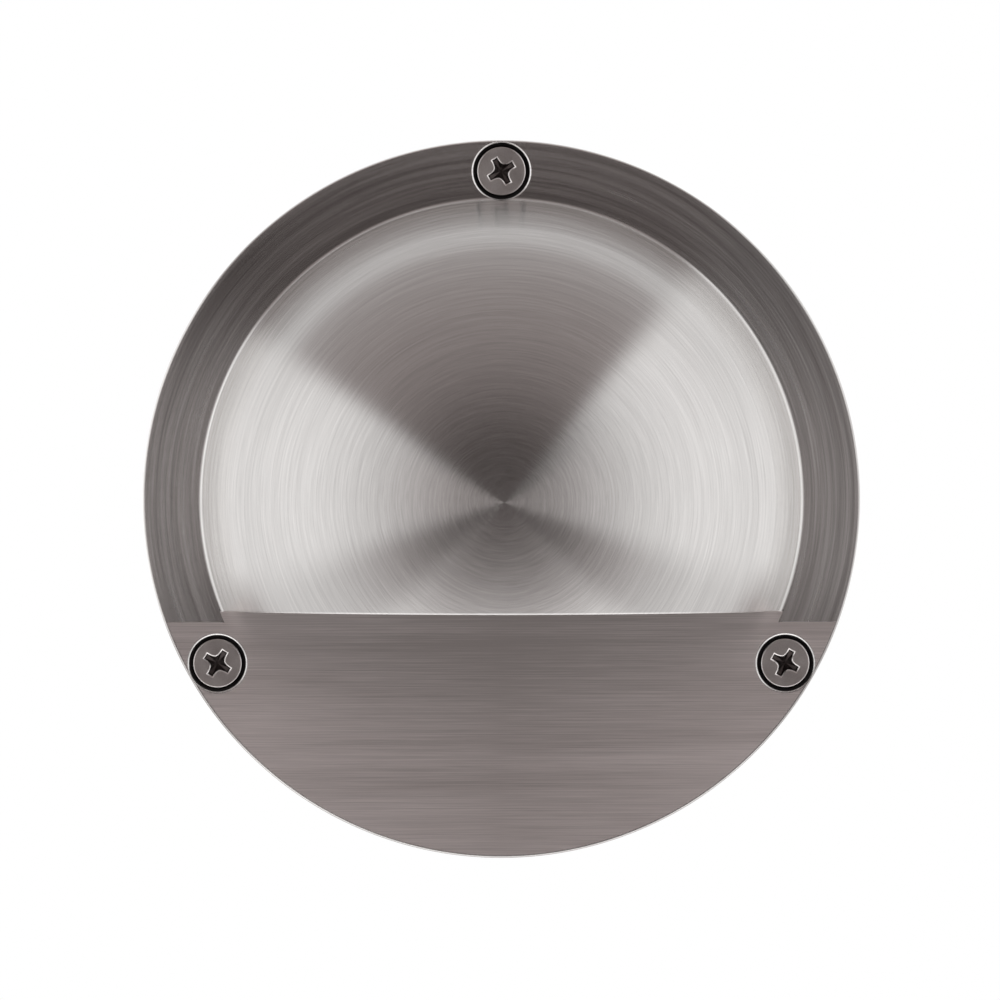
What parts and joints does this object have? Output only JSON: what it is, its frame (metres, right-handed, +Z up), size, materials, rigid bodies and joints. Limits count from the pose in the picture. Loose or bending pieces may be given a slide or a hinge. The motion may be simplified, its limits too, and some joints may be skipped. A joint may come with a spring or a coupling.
{
  "type": "step light",
  "caption": "Round recessed step light: a brushed steel face plate with a pressed hood that throws light down through its mouth, over a sealed lamp engine in a wall canister.",
  "frame": {"origin": "centre of the wall surface, which is the back face of the canister's flange, on the light's axis", "axes": "+Y into the wall along the light's axis, towards the cable gland, +Z up, +X to the right seen from the room; the hood faces -Y and its mouth opens downwards"},
  "size_m": [0.11, 0.1236, 0.11],
  "materials": {
    "plate_steel": "brushed in circles on the dome and ring, level on the lower segment",
    "screw_steel": "satin",
    "black_foam": "matte",
    "turned_brass": "satin",
    "black_moulding": "matte",
    "black_rubber": "matte",
    "cast_aluminium": "cast",
    "bezel_aluminium": "satin",
    "frosted_glass": "frosted",
    "grey_pad": "matte",
    "white_board": "satin",
    "chip_phosphor": "satin",
    "white_plastic": "matte",
    "green_board": "satin",
    "dark_plastic": "matte",
    "clear_plastic": "matte",
    "tinned_lug": "satin",
    "red_insulation": "satin",
    "brown_insulation": "satin",
    "green_insulation": "satin",
    "black_nylon": "satin"
  },
  "bodies": {
    "root": {"face_plate": "plate_steel", "face_screws": "screw_steel", "face_gasket": "black_foam", "thread_inserts": "turned_brass", "canister": "black_moulding", "seat_gasket": "black_rubber", "lamp_body": "cast_aluminium", "lens_bezel": "bezel_aluminium", "engine_screws": "screw_steel", "lens_seal": "black_rubber", "lens_glass": "frosted_glass", "thermal_pad": "grey_pad", "light_board": "white_board", "board_screws": "screw_steel", "light_chips": "chip_phosphor", "board_connector": "white_plastic", "lead_grommet": "black_rubber", "driver_case": "white_plastic", "driver_lid": "white_plastic", "driver_board": "green_board", "driver_parts": "dark_plastic", "driver_screws": "screw_steel", "terminal_block": "clear_plastic", "terminal_cages": "turned_brass", "terminal_screws": "screw_steel", "terminal_fixings": "screw_steel", "earth_lug": "tinned_lug", "earth_screw": "screw_steel", "lamp_leads": "red_insulation", "mains_leads": "brown_insulation", "earth_lead": "green_insulation", "gland_washer": "black_rubber", "gland_body": "black_nylon", "gland_locknut": "black_nylon", "gland_seal": "black_rubber", "gland_cap": "black_nylon", "blanking_plug": "black_rubber"}
  },
  "joints": []
}
